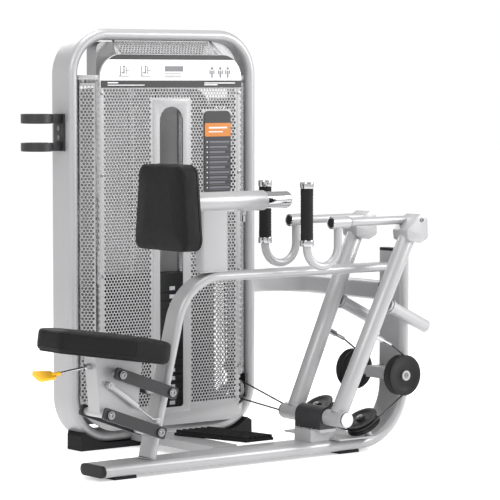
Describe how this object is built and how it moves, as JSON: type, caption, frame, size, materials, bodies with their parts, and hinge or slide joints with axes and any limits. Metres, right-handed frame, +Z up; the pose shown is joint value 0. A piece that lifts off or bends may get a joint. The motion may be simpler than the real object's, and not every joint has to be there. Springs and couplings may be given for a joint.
{
  "type": "seated row machine",
  "caption": "Seated row gym machine with a chest pad, two swinging lever arms with U handles, cable pulleys, a lifting seat and a shrouded weight stack tower",
  "frame": {"origin": "centre of the footprint on the floor", "axes": "+X from the seat towards the arms and the rear column, +Y from the user line towards the weight tower, +Z up"},
  "size_m": [1.5698, 0.906, 1.5],
  "materials": {
    "silver_paint": "silver-grey metallic powder coat, satin",
    "white_paint": "white printed panel, satin",
    "dark_paint": "near-black powder coat, satin",
    "chrome": "bright chrome plating",
    "rubber": "matt black rubber",
    "black_plastic": "black moulded plastic",
    "upholstery": "black vinyl upholstery with a soft sheen",
    "cast_plate": "dark painted cast plate",
    "board_print": "dark grey printed board",
    "cable_jacket": "black plastic jacket over steel rope",
    "lever_yellow": "yellow moulded grip"
  },
  "bodies": {
    "frame": {"base_beam": "dark_paint", "base_rail": "silver_paint", "bottle_holder": "dark_paint", "chest_post": "silver_paint", "column_cap": "black_plastic", "front_shield": "silver_paint", "guide_rod_left": "chrome", "guide_rod_right": "chrome", "head_placard": "white_paint", "high_brace": "silver_paint", "instruction_board": "board_print", "low_brace": "silver_paint", "pivot_pedestal": "dark_paint", "pivot_shaft": "chrome", "rail_end_cap": "black_plastic", "rail_foot_front": "rubber", "rail_foot_rear": "rubber", "rear_pulley_axle": "silver_paint", "rear_shield": "silver_paint", "resting_plates": "cast_plate", "step_plate": "rubber", "top_beam": "silver_paint", "tower_foot_left": "rubber", "tower_foot_right": "rubber", "tower_loop": "silver_paint", "upright_tube": "silver_paint"},
    "near_lever": {"near_arm": "silver_paint", "near_counterweight": "silver_paint", "near_cable_fitting": "chrome"},
    "far_lever": {"far_arm": "silver_paint", "far_counterweight": "silver_paint", "far_cable_fitting": "chrome"},
    "near_handle_unit": {"near_handle": "silver_paint", "near_grip": "rubber"},
    "far_handle_unit": {"far_handle": "silver_paint", "far_grip": "rubber"},
    "upper_rope": {"stack_cable": "cable_jacket"},
    "weight_unit": {"lifted_plates": "cast_plate", "head_plate": "cast_plate"},
    "lower_rope": {"lift_cable": "cable_jacket"},
    "float_unit": {"floating_pulley": "dark_paint"},
    "pin_unit": {"selector_pin": "chrome"},
    "chest_unit": {"chest_slide_tube": "chrome", "chest_pad": "upholstery"},
    "pull_pin": {"chest_pull_pin": "chrome"},
    "upper_link_pair": {"upper_links": "dark_paint"},
    "seat_unit": {"seat_pad": "upholstery", "seat_carriage": "silver_paint"},
    "lower_link_pair": {"lower_links": "dark_paint"},
    "gas_body": {"gas_cylinder": "silver_paint"},
    "gas_piston": {"gas_rod": "chrome"},
    "seat_lever": {"release_lever": "lever_yellow"},
    "top_wheel_left": {"top_pulley_left": "black_plastic"},
    "top_wheel_right": {"top_pulley_right": "black_plastic"},
    "exit_wheel_lower": {"exit_pulley_lower": "silver_paint"},
    "exit_wheel_upper": {"exit_pulley_upper": "silver_paint"},
    "near_rear_wheel": {"near_rear_pulley": "black_plastic"},
    "far_rear_wheel": {"far_rear_pulley": "black_plastic"},
    "near_lower_wheel": {"near_lower_pulley": "black_plastic"},
    "far_lower_wheel": {"far_lower_pulley": "black_plastic"}
  },
  "joints": [
    {"name": "near_arm_swing", "type": "hinge", "parent": "frame", "child": "near_lever", "pos_m": [0.3766, -0.394, 0.1386], "axis": [0, -1, 0], "range_deg": [0, 35]},
    {"name": "near_handle_swivel", "type": "hinge", "parent": "near_lever", "child": "near_handle_unit", "pos_m": [0.3561, -0.391, 0.823], "axis": [1, 0, 0], "range_deg": [-12, 15]},
    {"name": "near_rear_wheel_spin", "type": "hinge", "parent": "frame", "child": "near_rear_wheel", "pos_m": [0.6673, -0.407, 0.2718], "axis": [0, -1, 0], "range_deg": [-5, 195]},
    {"name": "near_lower_wheel_spin", "type": "hinge", "parent": "frame", "child": "near_lower_wheel", "pos_m": [0.5276, -0.353, 0.1095], "axis": [-0.5299, 0, 0.848], "range_deg": [-5, 224]},
    {"name": "far_arm_swing", "type": "hinge", "parent": "frame", "child": "far_lever", "pos_m": [0.3766, -0.156, 0.1386], "axis": [0, -1, 0], "range_deg": [0, 35]},
    {"name": "far_handle_swivel", "type": "hinge", "parent": "far_lever", "child": "far_handle_unit", "pos_m": [0.3561, -0.159, 0.823], "axis": [-1, 0, 0], "range_deg": [-12, 15]},
    {"name": "far_rear_wheel_spin", "type": "hinge", "parent": "frame", "child": "far_rear_wheel", "pos_m": [0.6673, -0.143, 0.2718], "axis": [0, -1, 0], "range_deg": [-5, 195]},
    {"name": "far_lower_wheel_spin", "type": "hinge", "parent": "frame", "child": "far_lower_wheel", "pos_m": [0.5456, -0.089, 0.129], "axis": [-0.5299, 0, 0.848], "range_deg": [-5, 224]},
    {"name": "exit_wheel_lower_spin", "type": "hinge", "parent": "frame", "child": "exit_wheel_lower", "pos_m": [0.4646, 0.292, 0.172], "axis": [1, 0, 0], "range_deg": [-365, 5]},
    {"name": "exit_wheel_upper_spin", "type": "hinge", "parent": "frame", "child": "exit_wheel_upper", "pos_m": [0.4816, 0.352, 0.25], "axis": [1, 0, 0], "range_deg": [-365, 5]},
    {"name": "top_wheel_left_spin", "type": "hinge", "parent": "frame", "child": "top_wheel_left", "pos_m": [0.1761, 0.3555, 1.36], "axis": [0, 1, 0], "continuous": true},
    {"name": "top_wheel_right_spin", "type": "hinge", "parent": "frame", "child": "top_wheel_right", "pos_m": [0.4366, 0.3555, 1.36], "axis": [0, 1, 0], "continuous": true},
    {"name": "stack_lift_by_near_arm", "type": "slide", "parent": "frame", "child": "upper_rope", "axis": [0, 0, 1], "range_m": [0, 0.106], "deforming": ["stack_cable"]},
    {"name": "stack_lift_by_far_arm", "type": "slide", "parent": "upper_rope", "child": "weight_unit", "axis": [0, 0, 1], "range_m": [0, 0.106]},
    {"name": "float_drop_by_near_arm", "type": "slide", "parent": "frame", "child": "lower_rope", "axis": [0, 0, -1], "range_m": [0, 0.106], "deforming": ["lift_cable"]},
    {"name": "float_drop_by_far_arm", "type": "slide", "parent": "lower_rope", "child": "float_unit", "axis": [0, 0, -1], "range_m": [0, 0.106]},
    {"name": "pin_pull", "type": "slide", "parent": "weight_unit", "child": "pin_unit", "axis": [0, -1, 0], "range_m": [0, 0.1]},
    {"name": "chest_pad_slide", "type": "slide", "parent": "frame", "child": "chest_unit", "axis": [-1, 0, 0], "range_m": [0, 0.1]},
    {"name": "chest_pin_pull", "type": "slide", "parent": "frame", "child": "pull_pin", "axis": [0, 0, -1], "range_m": [0, 0.012], "stiffness_N_per_m": 400, "springref_m": -0.01},
    {"name": "seat_lift", "type": "hinge", "parent": "frame", "child": "upper_link_pair", "pos_m": [-0.3023, -0.275, 0.2768], "axis": [0, 1, 0], "range_deg": [-18, 15]},
    {"name": "seat_level", "type": "hinge", "parent": "upper_link_pair", "child": "seat_unit", "pos_m": [-0.5042, -0.275, 0.3503], "axis": [0, 1, 0], "range_deg": [-16, 19]},
    {"name": "lower_link_swing", "type": "hinge", "parent": "frame", "child": "lower_link_pair", "pos_m": [-0.3502, -0.275, 0.1469], "axis": [0, 1, 0], "range_deg": [-19, 16]},
    {"name": "gas_spring_swing", "type": "hinge", "parent": "seat_unit", "child": "gas_body", "pos_m": [-0.5344, -0.3225, 0.315], "axis": [0, 1, 0], "range_deg": [-17, 14]},
    {"name": "gas_spring_stroke", "type": "slide", "parent": "gas_body", "child": "gas_piston", "axis": [0.8078, 0, -0.5895], "range_m": [-0.02, 0.017]},
    {"name": "seat_lever_press", "type": "hinge", "parent": "seat_unit", "child": "seat_lever", "pos_m": [-0.5899, -0.265, 0.375], "axis": [0, 1, 0], "range_deg": [0, 12], "stiffness_Nm_per_rad": 1, "springref_deg": -14.32}
  ],
  "couplings": [
    {"joint": "near_rear_wheel_spin", "follows": "near_arm_swing", "ratio": 5.45},
    {"joint": "near_lower_wheel_spin", "follows": "near_arm_swing", "ratio": 6.26},
    {"joint": "far_rear_wheel_spin", "follows": "far_arm_swing", "ratio": 5.45},
    {"joint": "far_lower_wheel_spin", "follows": "far_arm_swing", "ratio": 6.26},
    {"joint": "exit_wheel_lower_spin", "follows": "near_arm_swing", "ratio": -10.24},
    {"joint": "exit_wheel_upper_spin", "follows": "far_arm_swing", "ratio": -10.24},
    {"joint": "stack_lift_by_near_arm", "follows": "near_arm_swing", "m_per_rad": 0.169},
    {"joint": "stack_lift_by_far_arm", "follows": "far_arm_swing", "m_per_rad": 0.169},
    {"joint": "float_drop_by_near_arm", "follows": "near_arm_swing", "m_per_rad": 0.169},
    {"joint": "float_drop_by_far_arm", "follows": "far_arm_swing", "m_per_rad": 0.169},
    {"joint": "seat_level", "follows": "seat_lift", "ratio": -1},
    {"joint": "lower_link_swing", "follows": "seat_lift", "ratio": 1},
    {"joint": "gas_spring_swing", "follows": "seat_lift", "ratio": 0.91},
    {"joint": "gas_spring_stroke", "follows": "seat_lift", "m_per_rad": 0.0595}
  ]
}
